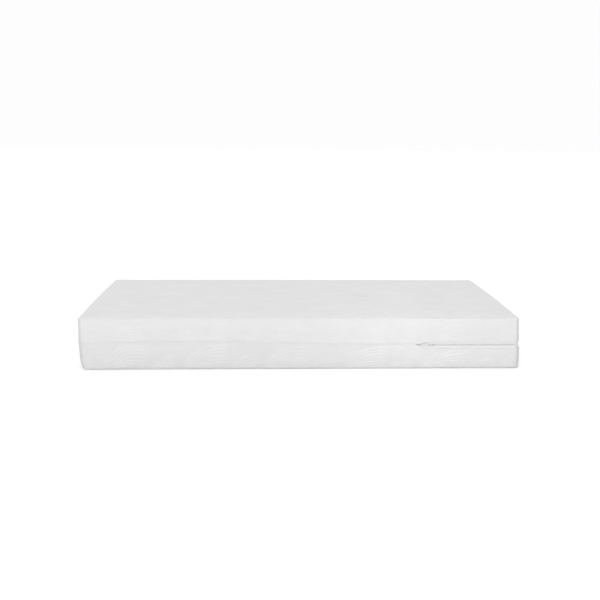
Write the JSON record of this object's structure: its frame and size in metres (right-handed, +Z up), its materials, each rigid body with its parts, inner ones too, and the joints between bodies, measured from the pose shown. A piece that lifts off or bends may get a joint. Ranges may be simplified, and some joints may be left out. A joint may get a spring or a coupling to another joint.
{
  "type": "memory foam mattress",
  "caption": "Single-size memory foam mattress in a white ribbed knit cover, its halves meeting at a waist line that is part sewn and part zipped.",
  "frame": {"origin": "centre of the flat underside, on the surface the mattress lies on", "axes": "+X along the length, towards the zipped end; +Y across the width, away from the side with the zip slider; +Z up"},
  "size_m": [2, 0.9, 0.23],
  "materials": {
    "knit": "matte",
    "binding": "matte",
    "zip_tape": "matte",
    "zip_coil": "satin",
    "zip_metal": "satin",
    "liner": "matte",
    "memory_foam": "matte",
    "transition_foam": "matte",
    "support_foam": "matte",
    "adhesive": "matte",
    "label": "satin"
  },
  "bodies": {
    "mattress": {"adhesive_film_lower": "adhesive", "adhesive_film_upper": "adhesive", "care_label": "label", "corner_seam_lower_back_left": "binding", "corner_seam_lower_back_right": "binding", "corner_seam_lower_front_left": "binding", "corner_seam_lower_front_right": "binding", "corner_seam_upper_back_left": "binding", "corner_seam_upper_back_right": "binding", "corner_seam_upper_front_left": "binding", "corner_seam_upper_front_right": "binding", "cover_bottom_half": "knit", "cover_top_half": "knit", "inner_liner": "liner", "liner_closing_seam": "binding", "memory_foam_layer": "memory_foam", "support_foam_core": "support_foam", "transition_foam_layer": "transition_foam", "waist_seam_binding": "binding", "zip_coil_lower": "zip_coil", "zip_coil_upper": "zip_coil", "zip_stop_back": "zip_metal", "zip_stop_front": "zip_metal", "zip_tape_lower": "zip_tape", "zip_tape_upper": "zip_tape"},
    "slider": {"zip_slider": "zip_metal"},
    "pull_tab": {"zip_pull_tab": "zip_metal"}
  },
  "joints": [
    {"name": "zip_slide", "type": "slide", "parent": "mattress", "child": "slider", "axis": [1, 0, 0], "range_m": [0, 0.35]},
    {"name": "pull_hinge", "type": "hinge", "parent": "slider", "child": "pull_tab", "pos_m": [0.6, -0.44765, 0.113], "axis": [0, 0, 1], "range_deg": [0, 170]}
  ]
}
